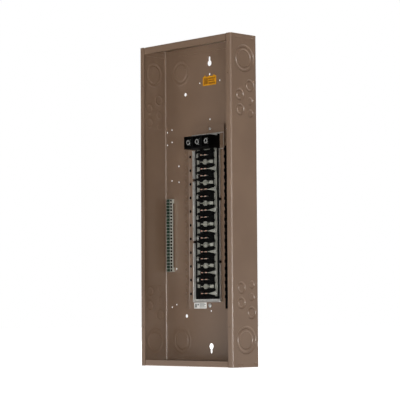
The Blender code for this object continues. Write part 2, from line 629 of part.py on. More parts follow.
def make_ground_bar(finishes):
    half = GROUND_POSITIONS * TERMINAL_PITCH / 2
    low, high = GROUND_MID_Z - half, GROUND_MID_Z + half
    outline = [(GROUND_Y[1], low), (GROUND_FOOT_Y, low), (GROUND_FOOT_Y, low + FOOT_LENGTH),
               (GROUND_Y[0], low + FOOT_LENGTH), (GROUND_Y[0], high - FOOT_LENGTH),
               (GROUND_FOOT_Y, high - FOOT_LENGTH), (GROUND_FOOT_Y, high), (GROUND_Y[1], high)]
    bar = add_prisms("ground_bar", [(outline, "X", *GROUND_X)], finishes["aluminium"])
    drill_bar(bar, GROUND_X, GROUND_Y, GROUND_MID_Z, GROUND_POSITIONS - 2)
    reach = (GROUND_POSITIONS - 1) / 2 * TERMINAL_PITCH
    for name, z in (("top", GROUND_MID_Z + reach), ("bottom", GROUND_MID_Z - reach)):
        x = sum(GROUND_X) / 2
        hole = circle(x, z, 2.5 * MM, 12)
        combine(bar, "DIFFERENCE", [(hole, "Y", GROUND_Y[1] - MM, GROUND_FOOT_Y + MM)])
        screw = screw_mesh(f"ground_bar_screw_{name}", 3.8 * MM, 2.4 * MM, 2.1 * MM, 16 * MM,
                           finishes["screw_steel"])
        screw.location = (x, GROUND_Y[1] - GAP, z)
    return bar


def make_neutral(finishes):
    """Insulated neutral bar beside the pan, with its own lug at the top."""
    back, wall = -SHEET - GAP, BASE_WALL
    profile = [(BASE_X[0], back), (BASE_X[1], back), (BASE_X[1], BASE_STOP_Y),
               (BASE_X[1] - wall, BASE_STOP_Y), (BASE_X[1] - wall, BASE_SEAT_Y),
               (BASE_X[0], BASE_SEAT_Y)]
    base = add_prisms("neutral_base", [(profile, "Z", *BASE_Z)], finishes["black_plastic"])
    combine(base, "UNION", [(rail_outline(), "X", BASE_X[0], BASE_X[0] + wall)])
    half = NEUTRAL_POSITIONS * TERMINAL_PITCH / 2
    span = (NEUTRAL_MID_Z - half, NEUTRAL_MID_Z + half)
    bar = add_prisms("neutral_bar", [block(NEUTRAL_X, NEUTRAL_Y[::-1], span)],
                     finishes["aluminium"])
    drill_bar(bar, NEUTRAL_X, NEUTRAL_Y, NEUTRAL_MID_Z, NEUTRAL_POSITIONS)
    centre = (NEUTRAL_LUG_X, 0.0, NEUTRAL_LUG_Z)
    make_lug("neutral_lug", NEUTRAL_LUG_HALF_W, NEUTRAL_LUG_Y, centre, finishes)
    wire_y = NEUTRAL_LUG_Y[0] + LUG_WIRE_Y - LUG_Y[0]
    make_set_screw("neutral_lug_screw", (wire_y - 8 * MM, NEUTRAL_LUG_Y[1] - 3 * MM), centre,
                   finishes)


# ---- labels --------------------------------------------------------------------------------------------------------------------
def make_tag(finishes):
    """Yellow tag on the back wall, with three bumps along its upper edge."""
    outline = [(TAG_X[0], TAG_Z[0]), (TAG_X[1], TAG_Z[0]), (TAG_X[1], TAG_Z[1])]
    third = (TAG_X[1] - TAG_X[0]) / 3
    for bump in range(3):
        centre = TAG_X[1] - third * (bump + 0.5)
        outline += [(centre + TAG_BUMP_R * cos(pi * k / 6), TAG_Z[1] + TAG_BUMP_R * sin(pi * k / 6))
                    for k in range(7)]
    outline.append((TAG_X[0], TAG_Z[1]))
    back = -SHEET - GAP
    add_prisms("caution_tag", [(outline, "Y", back - TAG_THICK, back)], finishes["yellow_tag"])


def make_rating_plate(finishes):
    """Plain white plate at the foot of the pan."""
    face = PAN_FRONT_Y - GAP
    add_prisms("rating_plate", [block(PLATE_X, (face - PLATE_THICK, face), PLATE_Z)],
               finishes["white_label"])


def build():
    for obj in list(bpy.data.objects):
        bpy.data.objects.remove(obj)
    finishes = make_finishes()
    make_wrap(finishes)
    make_end_wall("top_end_wall", 1, TOP_RETURN, finishes)
    make_end_wall("bottom_end_wall", -1, BOTTOM_RETURN, finishes)
    make_ground_bar(finishes)
    make_tag(finishes)
    fixed_to_box = set(bpy.data.objects)
    make_pan(finishes)
    make_pan_fixings(finishes)
    make_tray(finishes)
    make_insulator(finishes)
    make_bars(finishes)
    make_stabs(finishes)
    make_main_lugs(finishes)
    make_neutral(finishes)
    make_rating_plate(finishes)
    interior = place("interior", None, (INTERIOR_X, 0.0, 0.0))
    for obj in set(bpy.data.objects) - fixed_to_box - {interior}:
        obj.parent = interior


build()
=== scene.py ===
"""Looks of the load center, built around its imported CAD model.

The frame is the CAD model's: metres, X to the right, Y into the wall, Z up, the origin at the centre
of the box's back face. Lengths below are in metres through MM unless a comment says otherwise.
"""

import json
from math import asin, cos, hypot, pi, sin

import bmesh
import bpy
import numpy as np
from mathutils import Matrix, Vector
from mathutils.geometry import delaunay_2d_cdt

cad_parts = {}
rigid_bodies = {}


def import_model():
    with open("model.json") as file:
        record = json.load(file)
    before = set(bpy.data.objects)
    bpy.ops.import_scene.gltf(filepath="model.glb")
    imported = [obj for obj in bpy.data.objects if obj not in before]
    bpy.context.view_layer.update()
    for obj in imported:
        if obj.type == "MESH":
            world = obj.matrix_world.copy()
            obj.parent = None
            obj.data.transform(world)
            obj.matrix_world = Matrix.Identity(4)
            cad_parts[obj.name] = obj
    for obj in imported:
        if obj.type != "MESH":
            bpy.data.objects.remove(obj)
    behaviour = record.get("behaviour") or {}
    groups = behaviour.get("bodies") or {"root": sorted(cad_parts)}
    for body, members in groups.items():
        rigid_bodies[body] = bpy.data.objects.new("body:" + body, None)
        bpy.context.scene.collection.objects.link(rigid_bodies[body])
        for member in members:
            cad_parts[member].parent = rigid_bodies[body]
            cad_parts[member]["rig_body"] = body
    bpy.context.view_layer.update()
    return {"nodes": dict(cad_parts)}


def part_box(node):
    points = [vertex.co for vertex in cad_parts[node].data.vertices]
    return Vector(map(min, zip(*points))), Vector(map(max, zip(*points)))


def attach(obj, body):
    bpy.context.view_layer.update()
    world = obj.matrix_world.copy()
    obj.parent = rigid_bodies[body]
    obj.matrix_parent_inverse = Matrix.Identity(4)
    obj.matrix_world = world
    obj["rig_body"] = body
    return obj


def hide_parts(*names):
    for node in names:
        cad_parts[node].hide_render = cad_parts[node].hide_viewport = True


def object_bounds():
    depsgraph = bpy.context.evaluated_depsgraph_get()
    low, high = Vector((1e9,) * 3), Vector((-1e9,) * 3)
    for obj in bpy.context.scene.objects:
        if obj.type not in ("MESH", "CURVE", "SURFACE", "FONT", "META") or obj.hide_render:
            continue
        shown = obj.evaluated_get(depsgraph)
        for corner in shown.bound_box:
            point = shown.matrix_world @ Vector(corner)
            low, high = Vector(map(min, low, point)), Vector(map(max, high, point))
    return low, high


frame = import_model()

MM = 0.001
ORIGIN = (0.0, 0.0, 0.0)
PANEL = "panel"                       # the body that everything but the set screws rides on

# ---- camera and light -------------------------------------------------------------------------------
CAMERA_AT = (3.3165, -3.2071, -0.3080)
CAMERA_AZIMUTH = 0.80858              # radians, from +Y towards -X
CAMERA_PITCH = 0.06906
CAMERA_ROLL = -0.00654
CAMERA_LENS = 150.82                  # mm
SENSOR_W = 36.0                       # mm
SURROUND_COLOUR = (1.0, 0.98, 0.96, 1.0)
SURROUND = 0.20                       # brightness of the surround, and how it grows to one side
SURROUND_SWING = 0.09
SURROUND_BRIGHT_SIDE = (0.95, -0.05, 0.0)
KEY_AT = (3.60, -3.48, -0.75)         # a wide soft light in front, low and to the right
KEY_TARGET = (0.0, 0.0, -0.15)
KEY_SIZE = (3.0, 1.0)                 # metres
KEY_POWER = 930.0                     # watts
FRONT_AT = (-1.6, -4.4, -0.3)         # a weak light that metal sloping to the right reflects
FRONT_SIZE = (1.2, 1.0)
FRONT_POWER = 22.0
BACK_AT = (-2.6, 3.4, 0.2)            # a weak light for the views from behind
BACK_SIZE = (2.0, 2.0)
BACK_POWER = 60.0
FLOOR_GLOW = 0.95                     # the pale floor's own light, which keeps it free of shadow
FLOOR_COLOUR = (0.86, 0.86, 0.85)
FLOOR_ROUGHNESS = 0.75
FLOOR_REACH = 12.0                    # metres from the middle to each edge
FLOOR_GAP = 0.5 * MM                  # between the floor and the box

# ---- sheet metal ----------------------------------------------------------------------------------
SHEET = 1.5 * MM
SHEET_EDGE_R = 0.3 * MM               # rounding of thin sheet and small loose pieces
BEND_R = 6.0 * MM                     # outer radius of the wrap's bends
BEND_STEPS = 8
END_BEND_R = 3.0 * MM
FLANGE_W = 17.6 * MM                  # the wrap's front flanges
FLANGE_DEPTH = {1: 19.0 * MM, -1: 16.0 * MM}      # the end walls' front flanges
END_FOLD_Y = -2.4 * MM                # where an end wall widens in front of its back tab
END_MOUTH_Y = -91.0 * MM              # where it narrows again to pass the wrap's bends
END_TAB_SHARE = 0.7                   # how much of the width the back tab takes
END_LIP_GAP = 0.4 * MM                # between an end wall's front flange and the wrap's flanges
SIDE_TAB_REACH = 9.0 * MM             # the end walls' tabs on the inside of the side walls
SIDE_TAB_DROP = 1.6 * MM
SIDE_TAB_BEND_R = 2.4 * MM
SIDE_TAB_YS = (-90.0 * MM, -8.0 * MM)
SIDE_TAB_DIMPLE_U = 9.5 * MM
STEP_W = 2.2 * MM                     # width of a pressed slope
STEP_H = 1.8 * MM                     # depth of a pressed step in the right wall
SHALLOW_STEP_H = 1.4 * MM             # and in the other walls
RINGS_LARGE = (37.5, 31.0, 25.0)      # radii of the concentric knockouts, mm
RINGS_SMALL = (17.5, 12.0)
RINGS_MIDDLE = (16.5, 11.0)
RINGS_SINGLE = (11.0,)
KNOCKOUT_Z = 376.0 * MM
KNOCKOUT_BACK_X = 116.0 * MM
KNOCKOUT_SIDE_Y = -48.0 * MM
KNOCKOUT_SIDE_RISE = {1: 3.3 * MM, -1: -1.5 * MM}
KNOCKOUT_END_X = 96.0 * MM
SMALL_KNOCKOUTS = (                   # y, distance from the middle along z and radii, mm
    (-27.0, 303.5, RINGS_SMALL), (-65.6, 277.5, RINGS_MIDDLE), (-26.2, 261.8, RINGS_SINGLE),
    (-64.8, 237.4, RINGS_MIDDLE), (-25.2, 229.0, RINGS_SINGLE))
DIMPLE_R = 3.4 * MM                   # clinches that hold the end walls
DIMPLE_DEPTH = 1.3 * MM
DIMPLE_FLAT = 0.4                     # the flat middle's share of a clinch's radius
DIMPLE_YS = (-76.0, -62.7, -18.0, -11.5)          # mm
DIMPLE_Z = 434.5 * MM
EMBOSSED = ((-9.0, 412.0), (-11.0, -395.0))       # x and z of the bumps beside the keyholes, mm
EMBOSSED_R = 4.2 * MM
EMBOSSED_H = 1.0 * MM
TRIM_HOLE_Z = 337.0 * MM
TRIM_HOLE_R = 2.2 * MM
TRIM_HOLE_IN = 10.2 * MM              # from the side wall's face
KEYHOLE_R = 8.0 * MM
KEYHOLE_SLOT_R = 3.6 * MM
KEYHOLE_Z = 391.5 * MM
KEYHOLE_SLOT_END = 407.0 * MM
KEYHOLE_MOUTH = 0.47                  # half the angle that the slot cuts from the round end
KEYHOLE_STEPS = 24
SMALL_HOLE_EDGES = 16                 # straight edges that draw a hole
HOLE_EDGES = 20
PAN_HOLE_EDGES = 24
CENTRE_HOLES = ((360.5, 3.0), (235.0, 2.5), (-294.5, 2.5))              # z and radius, mm
SIDE_HOLES = (                                                          # x, z and radius, mm
    (40.0, 339.5, 2.3), (98.0, 313.0, 5.0), (98.0, -308.0, 5.0), (155.0, 218.0, 2.3),
    (174.0, 212.0, 2.3), (155.0, 183.0, 2.3), (174.0, 176.0, 2.3), (127.0, 113.0, 2.5),
    (156.0, 73.5, 2.3), (127.0, 68.0, 2.3), (138.5, -175.5, 2.5), (139.0, -276.0, 2.3),
    (158.0, -283.0, 2.3))

# ---- interior --------------------------------------------------------------------------------------
INTERIOR_X = (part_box("interior_pan")[0].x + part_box("interior_pan")[1].x) / 2
ROWS = 21
PITCH = 19.05 * MM
ROW_TOP_Z = 134.3 * MM
PAN_SHEET = 1.2 * MM
PAN_BEND_R = 3.4 * MM
PAN_SHOULDER_Z = 154.0 * MM
PAN_NECK_HALF_W = 64.0 * MM
PAN_SLOT_Z = 195.0 * MM               # bottom of the notch in the neck
PAN_SLOT_HALF_W = 1.0 * MM
PAN_HOLE_X = 71.5 * MM
PAN_HOLE_R = 4.5 * MM
RAIL_Y = -19.5 * MM
HOOK_ROOT = 5.6 * MM
HOOK_TIP = 3.6 * MM
HOOK_SHOULDER = 0.22                  # where a hook's shoulder lies, as shares of its height
HOOK_CORNER = 0.35                    # and of its width
HOOK_FLAT = 0.6
SHALLOW_EDGE_SHARE = 0.45             # the right rail's edge stands higher between its hooks
SKIRT_GAP = 4.0 * MM                  # the skirts stop short of the pan's ends
SKIRT_LAP = 0.2 * MM
SKIRT_BACK_Y = -1.8 * MM
TRAY_FACE_Y = -11.3 * MM              # front of the tray's floor
ENAMEL_GAP = 0.3 * MM                 # between the enamel on the tray's head and its sides
ENAMEL_BLOCK_GAP = 0.2 * MM           # and between the enamel and the lug block
ENAMEL_TOP_GAP = 2.0 * MM
ENAMEL_DROP = 0.6 * MM                # how far it reaches below the lug block
BAR_CHAMFER = 0.4 * MM
BAR_TRIM = 2.0 * MM                   # how far an outer bar stops short of its CAD edge
ARM_SPAN = (-28.5, -14.5)             # insulated part of the left arms, mm from the middle
TIP_DEPTH = 0.5 * MM                  # bare copper at the stabs' tips
RIVET_X = {"a": -33.5, "c": 35.0}     # rivets that hold the outer stabs, mm from the middle
RIVET_R = 2.7 * MM
RIVET_H = 1.2 * MM
STAB_SEAT_Y = -17.8 * MM
TERMINAL_PITCH = 8.9 * MM
GROUND_TERMINALS = 21
NEUTRAL_TERMINALS = 44                # fills the bar, so its two extra plates lie past the ends
TERMINAL_SCREW_R = 3.9 * MM
TERMINAL_SCREW_H = 2.4 * MM
SOCKET_SHADE_R = 4.6 * MM                   # painted shade reaches just past the set screws' hexagon sockets
SOCKET_SHADE_TOP = 0.2 * MM
CLAMP_HALF_H = 3.85 * MM              # pressure plates under the terminal screws
CLAMP_INSET = 0.6 * MM
CLAMP_H = 0.9 * MM
WIRE_HOLE_R = 3.2 * MM                # painted shade: black discs on the mouths of the wire holes, in the ground bar's sides
WIRE_HOLE_IN = 4.0 * MM               # and how far behind its front they lie
MOUTH_H = 0.05 * MM
HOLE_SHADE_R = 4.2 * MM                     # painted shade: black discs behind the pan's holes
HOLE_SHADE_Y = (-9.6 * MM, -8.4 * MM)
SLOT_W = 1.3 * MM                     # slots of the rivets and the terminal screws
SLOT_DEPTH = 0.9 * MM
HEAD_STEPS = 8                        # straight edges on each half of a slotted head
TURN_PER_SCREW = 2.4                  # radians from one screw's slot to the next
PRINT_H = 0.08 * MM                   # thickness of printed and painted patches
TAG_PRINT = ((3.4, 3.4, 20.0, 21.4), (22.0, 3.4, 49.6, 8.6),   # left, bottom, right and top, in mm
             (22.0, 10.4, 46.0, 15.0), (22.0, 16.8, 49.6, 21.4))    # from the tag's corner
PLATE_PRINT = ((3.0, 3.0, 11.0, 13.4), (13.0, 8.6, 19.0, 13.4))     # and from the label's
PLATE_LINES = 4                       # lines of plain bars on the label, every other one shorter
PLATE_LINE_X = (22.0, 46.0)           # mm
PLATE_LINE_TRIM = 5.0                 # mm
PLATE_LINE_Z = (3.2, 4.9)             # mm
PLATE_LINE_PITCH = 3.4                # mm
FACET_ANGLE = 0.03                    # CAD facets flatter than this are one face
MERGE_GAP = 0.002 * MM
SAME_POINT = 1e-7                     # metres
MOULDING_EDGES = (("bus_insulator", 0.35), ("lug_block", 0.5), ("neutral_base", 0.3))      # mm
SCREW_EDGE_R = 0.35 * MM
LUG_EDGE_R = 0.6 * MM                 # lugs and the middle phase bar
BAR_EDGE_R = 0.4 * MM                 # terminal bars
FINE_EDGE_R = 0.25 * MM               # phase bars, stabs and slotted heads
CRISP_EDGE_R = 0.2 * MM               # shade discs behind the pan's holes, and pressure plates
TAG_EDGE_R = 0.1 * MM
LABEL_EDGE_R = 0.05 * MM
AXES = {"X": (1, 2, 0), "Y": (0, 2, 1), "Z": (0, 1, 2)}   # outline's u and v, then the extrusion


def row_z(row):
    """Height of a breaker row; half values lie between two rows."""
    return ROW_TOP_Z - row * PITCH


# ---- materials --------------------------------------------------------------------------------------
NOISE_SPAN = (0.3, 0.7)               # the part of a noise texture's range that is used
GRAIN_DEPTH = 0.05 * MM


def principled(name, colour, roughness, metallic=0.0, specular=0.5):
    material = bpy.data.materials.new(name)
    material.use_nodes = True
    shader = material.node_tree.nodes["Principled BSDF"]
    shader.inputs["Base Color"].default_value = (*colour, 1.0)
    shader.inputs["Roughness"].default_value = roughness
    shader.inputs["Metallic"].default_value = metallic
    shader.inputs["Specular IOR Level"].default_value = specular
    return material, shader


def add_noise(material, scale, detail=3.0, stretch=(1.0, 1.0, 1.0)):
    """A noise texture in the row frame, in features per metre, stretched along the axes."""
    nodes, links = material.node_tree.nodes, material.node_tree.links
    place = nodes.new("ShaderNodeTexCoord")
    mapping = nodes.new("ShaderNodeMapping")
    mapping.inputs["Scale"].default_value = stretch
    noise = nodes.new("ShaderNodeTexNoise")
    noise.inputs["Scale"].default_value = scale
    noise.inputs["Detail"].default_value = detail
    links.new(place.outputs["Object"], mapping.inputs["Vector"])
    links.new(mapping.outputs["Vector"], noise.inputs["Vector"])
    return noise.outputs["Fac"]


def add_ramp(material, factor, low, high, span=(0.35, 0.65)):
    """Colours between low and high, picked by a factor."""
    ramp = material.node_tree.nodes.new("ShaderNodeValToRGB")
    first, last = ramp.color_ramp.elements
    first.position, last.position = span
    first.color, last.color = (*low, 1.0), (*high, 1.0)
    material.node_tree.links.new(factor, ramp.inputs["Fac"])
    return ramp.outputs["Color"]


def add_range(material, factor, low, high):
    """A value between low and high, picked by a factor."""
    node = material.node_tree.nodes.new("ShaderNodeMapRange")
    node.inputs["From Min"].default_value, node.inputs["From Max"].default_value = NOISE_SPAN
    node.inputs["To Min"].default_value = low
    node.inputs["To Max"].default_value = high
    material.node_tree.links.new(factor, node.inputs["Value"])
    return node.outputs["Result"]


def add_bump(material, shader, height, strength, distance):
    bump = material.node_tree.nodes.new("ShaderNodeBump")
    bump.inputs["Strength"].default_value = strength
    bump.inputs["Distance"].default_value = distance
    material.node_tree.links.new(height, bump.inputs["Height"])
    material.node_tree.links.new(bump.outputs["Normal"], shader.inputs["Normal"])


def worn(name, low, high, roughness, metallic, cloud, grain, bump, stretch=(1.0, 1.0, 1.0),
         specular=0.5):
    """A finish whose colour drifts between two tones, with grain in its gloss and its surface.

    Cloud and grain are the noise's features per metre, in the colour and in the gloss.
    """
    middle = [(a + b) / 2 for a, b in zip(low, high)]
    material, shader = principled(name, middle, roughness[0], metallic, specular)
    links = material.node_tree.links
    links.new(add_ramp(material, add_noise(material, cloud), low, high), shader.inputs["Base Color"])
    fine = add_noise(material, grain, 2.0, stretch)
    links.new(add_range(material, fine, *roughness), shader.inputs["Roughness"])
    add_bump(material, shader, fine, bump, GRAIN_DEPTH)
    return material


def spangled(name, low, high, roughness, metallic, cells):
    """Zinc plate with faint crystals in its colour and its gloss."""
    material, shader = principled(name, low, roughness[0], metallic)
    nodes, links = material.node_tree.nodes, material.node_tree.links
    place = nodes.new("ShaderNodeTexCoord")
    crystals = nodes.new("ShaderNodeTexVoronoi")
    crystals.inputs["Scale"].default_value = cells
    links.new(place.outputs["Object"], crystals.inputs["Vector"])
    tone = crystals.outputs["Color"]
    links.new(add_ramp(material, tone, low, high, (0.1, 0.9)), shader.inputs["Base Color"])
    links.new(add_range(material, tone, *roughness), shader.inputs["Roughness"])
    add_bump(material, shader, add_noise(material, 900.0), 0.12, GRAIN_DEPTH)
    return material


def make_materials():
    brushed = (1.0, 1.0, 0.06)
    return {
        "paint": worn("satin_tan_enamel", (0.134, 0.084, 0.054), (0.151, 0.096, 0.062),
                      (0.30, 0.38), 0.0, 9.0, 700.0, 0.22, specular=0.55),
        "zinc": spangled("zinc_plate", (0.42, 0.41, 0.39), (0.54, 0.53, 0.50), (0.32, 0.44),
                         0.85, 260.0),
        "tinned": worn("tinned_copper", (0.26, 0.26, 0.225), (0.38, 0.375, 0.33), (0.34, 0.48),
                       0.9, 60.0, 1100.0, 0.15),
        "bar": worn("dull_tinned_bar", (0.22, 0.22, 0.19), (0.32, 0.315, 0.275), (0.42, 0.55),
                    0.9, 60.0, 1100.0, 0.15),
        "copper": worn("bare_copper", (0.62, 0.34, 0.25), (0.80, 0.50, 0.40), (0.34, 0.46), 0.8,
                       90.0, 1500.0, 0.15),
        # Black plastic mouldings. The same black is also painted shade in holes and sockets and on the
        # pan's right side.
        "black": worn("black_moulding_and_painted_shade", (0.0005, 0.0005, 0.0005), (0.0010, 0.0010, 0.0010),
                      (0.40, 0.55), 0.0, 40.0, 1300.0, 0.25, specular=0.05),
        "aluminium": worn("plated_aluminium", (0.46, 0.48, 0.43), (0.60, 0.62, 0.56),
                          (0.34, 0.48), 0.75, 50.0, 1200.0, 0.2, brushed),
        "screw": worn("bright_screw", (0.55, 0.55, 0.53), (0.72, 0.72, 0.70), (0.20, 0.32), 1.0,
                      70.0, 1600.0, 0.1),
        "green": worn("green_screw", (0.005, 0.018, 0.009), (0.010, 0.036, 0.018), (0.30, 0.44),
                      0.2, 120.0, 1500.0, 0.15),
        "yellow": worn("yellow_card", (0.46, 0.20, 0.002), (0.56, 0.25, 0.003), (0.50, 0.62),
                       0.0, 70.0, 1500.0, 0.2, specular=0.2),
        "orange": worn("orange_print", (0.20, 0.080, 0.002), (0.25, 0.10, 0.003), (0.50, 0.62),
                       0.0, 90.0, 1500.0, 0.2, specular=0.2),
        "white": worn("label_stock", (0.52, 0.51, 0.48), (0.62, 0.61, 0.58), (0.45, 0.58), 0.0,
                      60.0, 1500.0, 0.15),
        "grey": worn("label_print", (0.12, 0.125, 0.12), (0.18, 0.185, 0.18), (0.50, 0.62), 0.0,
                     90.0, 1500.0, 0.15)}


FINISH = make_materials()


# ---- mesh tools -------------------------------------------------------------------------------------
def add_piece(name, mesh, finish, body=PANEL, replaced=()):
    """A finished piece on a body, standing for the CAD nodes it replaces."""
    if not mesh.materials:
        mesh.materials.append(FINISH[finish])
    piece = bpy.data.objects.new(name, mesh)
    bpy.context.scene.collection.objects.link(piece)
    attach(piece, body)
    if replaced:
        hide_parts(*replaced)
    return piece


def soften(piece, bevel=0.0, segments=2, angle=0.6):
    """Round the edges if asked to, and shade the faces smoothly across shallow edges."""
    piece.data.shade_smooth()
    piece.data.set_sharp_from_angle(angle=angle)
    if bevel:
        rounding = piece.modifiers.new("rounding", "BEVEL")
        rounding.width = bevel
        rounding.segments = segments
        rounding.limit_method = "ANGLE"
        rounding.angle_limit = angle
        rounding.harden_normals = False
        piece.data.set_sharp_from_angle(angle=pi)
    weighting = piece.modifiers.new("weighting", "WEIGHTED_NORMAL")
    weighting.keep_sharp = True
    return piece


def closed_mesh(name, verts, faces):
    mesh = bpy.data.meshes.new(name)
    mesh.from_pydata(verts, [], faces)
    shell = bmesh.new()
    shell.from_mesh(mesh)
    bmesh.ops.recalc_face_normals(shell, faces=shell.faces)
    shell.to_mesh(mesh)
    shell.free()
    return mesh


def circle(u, v, radius, segments):
    return [(u + radius * cos(2 * pi * k / segments), v + radius * sin(2 * pi * k / segments))
            for k in range(segments)]


def rectangle(u, v):
    return [(u[0], v[0]), (u[1], v[0]), (u[1], v[1]), (u[0], v[1])]


def prisms(name, shapes):
    """One mesh from separate closed outlines drawn out along an axis: (outline, axis, low, high)."""
    verts, faces = [], []
    for outline, axis, low, high in shapes:
        u, v, w = AXES[axis]
        first, count = len(verts), len(outline)
        for level in (low, high):
            for point in outline:
                vert = [0.0, 0.0, 0.0]
                vert[u], vert[v], vert[w] = point[0], point[1], level
                verts.append(vert)
        faces += [[first + k for k in range(count)], [first + count + k for k in range(count)]]
        for k in range(count):
            following = (k + 1) % count
            faces.append([first + k, first + following, first + count + following,
                          first + count + k])
    return closed_mesh(name, verts, faces)


def slotted_heads(name, centres, seat_y, radius, height, finish):
    """Slotted cheese heads that face the front, each with its slot turned further than the last."""
    steps = HEAD_STEPS
    verts, faces = [], []
    half = asin(SLOT_W / 2 / radius)
    angles = [half + (pi - 2 * half) * k / steps for k in range(steps + 1)]
    angles += [angle + pi for angle in angles]
    count = len(angles)
    corners = {0: 0, steps: 1, steps + 1: 2, count - 1: 3}
    for number, (x, z) in enumerate(centres):
        turn = TURN_PER_SCREW * number
        first = len(verts)
        rim = [(x + radius * cos(angle + turn), z + radius * sin(angle + turn)) for angle in angles]
        for y in (seat_y, seat_y - height):
            verts += [(u, y, v) for u, v in rim]
        verts += [(rim[k][0], seat_y - height + SLOT_DEPTH, rim[k][1]) for k in corners]

        def base(k):
            return first + k

        def top(k):
            return first + count + k

        def floor(k):
            return first + 2 * count + corners[k]

        faces.append([base(k) for k in range(count)])
        for start in (0, steps + 1):
            end = start + steps
            faces.append([top(k) for k in range(start, end + 1)])
            faces.append([top(start), top(end), floor(end), floor(start)])
            faces.append([base(start), base(start + 1), top(start + 1), top(start), floor(start)])
            faces += [[base(k), base(k + 1), top(k + 1), top(k)] for k in range(start + 1, end - 1)]
            faces.append([base(end - 1), base(end), floor(end), top(end), top(end - 1)])
            after = (end + 1) % count
            faces.append([base(end), base(after), floor(after), floor(end)])
        faces.append([floor(k) for k in (0, steps, steps + 1, count - 1)])
    return soften(add_piece(name, closed_mesh(name, verts, faces), finish), FINE_EDGE_R)


def inside(points, polygon):
    """Which of the points lie inside a polygon."""
    result = np.zeros(len(points), bool)
    u, v = points[:, 0], points[:, 1]
    for (u0, v0), (u1, v1) in zip(polygon, polygon[1:] + polygon[:1]):
        if v0 == v1:
            continue
        crosses = (v0 > v) != (v1 > v)
        result ^= crosses & (u < (u1 - u0) * (v - v0) / (v1 - v0) + u0)
    return result


class BentPath:
    """A sheet's outer face seen end on: straight legs joined by round bends, outside on the right."""

    def __init__(self, corners, radius):
        self.stations = []            # distance along the path, point, outward normal
        self.seams = []               # distances where a bend starts, turns and ends
        self.legs = []                # distance and point at each leg's start, and its direction
        travelled = 0.0
        corners = [Vector(corner) for corner in corners]
        here = corners[0]
        for index in range(1, len(corners)):
            ahead = (corners[index] - corners[index - 1]).normalized()
            last = index == len(corners) - 1
            stop = corners[index] if last else corners[index] - ahead * radius
            normal = Vector((ahead.y, -ahead.x))
            self.legs.append((travelled, here, ahead))
            self.stations.append((travelled, here, normal))
            travelled += (stop - here).length
            self.stations.append((travelled, stop, normal))
            if last:
                break
            after = (corners[index + 1] - corners[index]).normalized()
            centre = stop - normal * radius
            self.seams.append(travelled)
            for step in range(1, BEND_STEPS):
                angle = pi / 2 * step / BEND_STEPS
                out = normal * cos(angle) + ahead * sin(angle)
                travelled += radius * pi / 2 / BEND_STEPS
                self.seams.append(travelled)
                self.stations.append((travelled, centre + out * radius, out))
            travelled += radius * pi / 2 / BEND_STEPS
            self.seams.append(travelled)
            here = corners[index] + after * radius
        self.length = travelled

    def at(self, u):
        """Point and outward normal at a distance along the path."""
        for (u0, point0, normal0), (u1, point1, normal1) in zip(self.stations, self.stations[1:]):
            if u <= u1 or u1 == self.length:
                share = (u - u0) / (u1 - u0) if u1 > u0 else 0.0
                return point0.lerp(point1, share), normal0.lerp(normal1, share).normalized()
        return self.stations[-1][1:]

    def on_leg(self, leg, coordinate, axis):
        """Distance along the path of a point given by one coordinate of a straight leg."""
        start, point, ahead = self.legs[leg]
        return start + (coordinate - point[axis]) / ahead[axis]


def ring_segments(radius):
    """How many straight edges draw a pressed ring."""
    return 64 if radius > 20 * MM else 32 if radius > 4 * MM else 16


def step_rings(u, v, radii, depth=SHALLOW_STEP_H):
    """Circles and their depths for a pressed shape whose rings lie in and out by turns, radii in mm."""
    rings = []
    level = 0.0
    for radius in radii:
        rings.append((radius * MM, level))
        level = 0.0 if level else -depth
        rings.append((radius * MM - STEP_W, level))
    return u, v, rings


def pressed_sheet(name, path, outline, holes, pressings, thickness, place):
    """A flat blank with holes and pressed rings, folded along a path and given its thickness."""
    points, edges = [], []

    def add_loop(loop):
        first = len(points)
        points.extend(loop)
        edges.extend((first + k, first + (k + 1) % len(loop)) for k in range(len(loop)))

    add_loop(outline)
    for hole in holes:
        add_loop(hole)
    for u, v, rings in pressings:
        for radius, _ in rings:
            add_loop(circle(u, v, radius, ring_segments(radius)))
    low, high = min(v for _, v in outline) - MM, max(v for _, v in outline) + MM
    for u in path.seams:
        edges.append((len(points), len(points) + 1))
        points += [(u, low), (u, high)]
    flat, _, triangles, _, _, _ = delaunay_2d_cdt(
        [Vector(point) for point in points], edges, [], 0, SAME_POINT, False)
    flat = np.array([tuple(point) for point in flat])
    triangles = np.array(triangles)
    middles = flat[triangles].mean(axis=1)
    keep = inside(middles, outline)
    for hole in holes:
        keep &= ~inside(middles, hole)
    triangles = triangles[keep]
    used = sorted(set(triangles.ravel()))
    index = {int(old): new for new, old in enumerate(used)}
    outer, inner = [], []
    for old in used:
        u, v = flat[old]
        depth = 0.0
        for centre_u, centre_v, rings in pressings:
            distance = hypot(u - centre_u, v - centre_v)
            if distance < rings[0][0]:
                radii = [radius for radius, _ in rings][::-1]
                depth = float(np.interp(distance, radii, [level for _, level in rings][::-1]))
        point, normal = path.at(u)
        face = point + normal * depth
        outer.append(place(face, v))
        inner.append(place(face - normal * thickness, v))
    count = len(used)
    faces = []
    open_edges = {}
    for triangle in triangles:
        a, b, c = (index[int(k)] for k in triangle)
        faces.append((a, b, c))
        faces.append((count + c, count + b, count + a))
        for edge in ((a, b), (b, c), (c, a)):
            back = (edge[1], edge[0])
            if back in open_edges:
                del open_edges[back]
            else:
                open_edges[edge] = True
    for a, b in open_edges:
        faces.append((b, a, count + a, count + b))
    return closed_mesh(name, outer + inner, faces)


# ---- enclosure --------------------------------------------------------------------------------------
def upright(point, v):
    """A path drawn in plan, with the blank's other direction up."""
    return (point.x, point.y, v)


